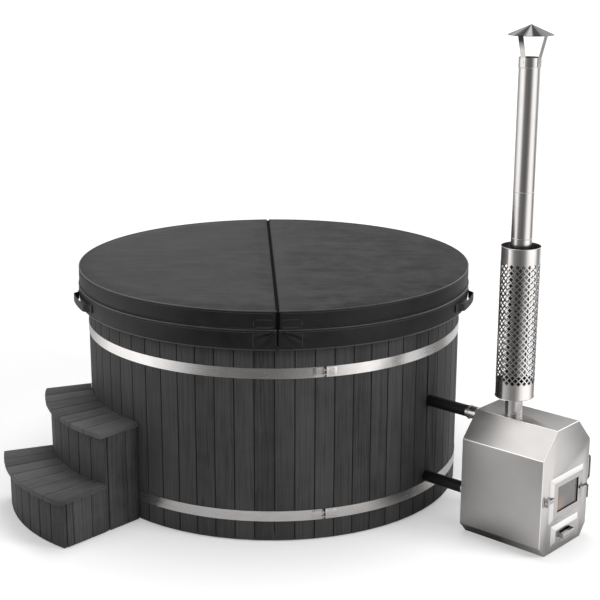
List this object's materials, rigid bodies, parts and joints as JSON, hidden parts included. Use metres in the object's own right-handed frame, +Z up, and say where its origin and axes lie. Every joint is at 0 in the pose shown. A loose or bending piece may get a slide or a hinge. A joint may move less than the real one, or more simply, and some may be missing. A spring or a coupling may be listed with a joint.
{
  "type": "round hot tub",
  "caption": "Round stave hot tub with a folding padded cover, a curved two-tread step unit and an outside wood stove with a tall flue.",
  "frame": {"origin": "on the floor, on the tub's axis", "axes": "+Z up; +X towards the stove's side, across the cover's fold line; -Y towards the front"},
  "size_m": [2.9972, 2.2815, 2.5],
  "materials": {
    "stained_wood": "dark grey stain, open grain",
    "raw_wood": "untreated softwood",
    "brushed_steel": "brushed stainless",
    "polished_steel": "bright rolled stainless",
    "black_iron": "sooty",
    "vinyl": "charcoal vinyl, fine grain",
    "foam": "foam core in a dark film",
    "webbing": "black webbing",
    "hose_rubber": "matt black rubber",
    "liner_plastic": "smooth pale grey",
    "insulation": "rigid foam",
    "drain_plastic": "grey pipe",
    "stove_glass": "smoked ceramic glass",
    "seal_rope": "glass rope",
    "dark_steel": "dark heat-resistant paint"
  },
  "bodies": {
    "tub": {"wall_staves": "stained_wood", "tub_bands": "brushed_steel", "band_clasps": "brushed_steel", "clasp_bolts": "brushed_steel", "steel_rivets": "brushed_steel", "rim_boards": "stained_wood", "liner": "liner_plastic", "liner_wall": "liner_plastic", "wall_insulation": "insulation", "bench_supports": "raw_wood", "floor_boards": "raw_wood", "base_joists": "raw_wood", "drain_strainer": "brushed_steel", "drain_pipe": "drain_plastic", "drain_cap": "brushed_steel", "wall_pipes": "brushed_steel", "inlet_covers": "brushed_steel", "upper_hose": "hose_rubber", "lower_hose": "hose_rubber", "hose_sockets": "brushed_steel", "hose_clamps": "brushed_steel", "step_formers": "raw_wood", "step_riser_boards": "stained_wood", "step_side_boards": "stained_wood", "upper_tread_planks": "stained_wood", "lower_tread_planks": "stained_wood", "stove_casing": "brushed_steel", "firebox": "dark_steel", "fire_grate": "black_iron", "drawer_housing": "brushed_steel", "hinge_bracket": "brushed_steel", "hinge_pin": "brushed_steel", "latch_keeper": "brushed_steel", "side_handle": "brushed_steel", "flue_socket": "polished_steel", "lower_flue": "polished_steel", "middle_flue": "polished_steel", "upper_flue": "polished_steel", "heat_guard": "polished_steel", "guard_brackets": "brushed_steel", "cap_collar": "polished_steel", "cap_brackets": "brushed_steel", "rain_cap": "polished_steel"},
    "cover": {"cover_right_skin": "vinyl", "cover_right_skirt": "vinyl", "cover_right_core": "foam", "cover_hinge": "vinyl", "right_handle": "webbing"},
    "cover_flap": {"cover_left_skin": "vinyl", "cover_left_skirt": "vinyl", "cover_left_core": "foam", "left_handle": "webbing"},
    "door": {"door_frame": "brushed_steel", "door_glass": "stove_glass", "window_gasket": "seal_rope", "door_seal": "seal_rope", "hinge_strap": "brushed_steel"},
    "latch": {"door_latch": "dark_steel"},
    "drawer": {"ash_drawer": "brushed_steel", "drawer_pull": "brushed_steel"}
  },
  "joints": [
    {"name": "cover_lift", "type": "slide", "parent": "tub", "child": "cover", "axis": [0, 0, 1], "range_m": [0, 0.6]},
    {"name": "cover_fold", "type": "hinge", "parent": "cover", "child": "cover_flap", "pos_m": [-0.011, -0.00029, 1.1985], "axis": [-0.0262, 0.9997, 0], "range_deg": [0, 180]},
    {"name": "door_swing", "type": "hinge", "parent": "tub", "child": "door", "pos_m": [1.2949, -1.21234, 0.288], "axis": [0, 0, -1], "range_deg": [0, 110]},
    {"name": "latch_turn", "type": "hinge", "parent": "door", "child": "latch", "pos_m": [1.49311, -0.9986, 0.283], "axis": [0.733, -0.6802, 0], "range_deg": [0, 100]},
    {"name": "drawer_slide", "type": "slide", "parent": "tub", "child": "drawer", "axis": [0.733, -0.6802, 0], "range_m": [0, 0.3]}
  ]
}
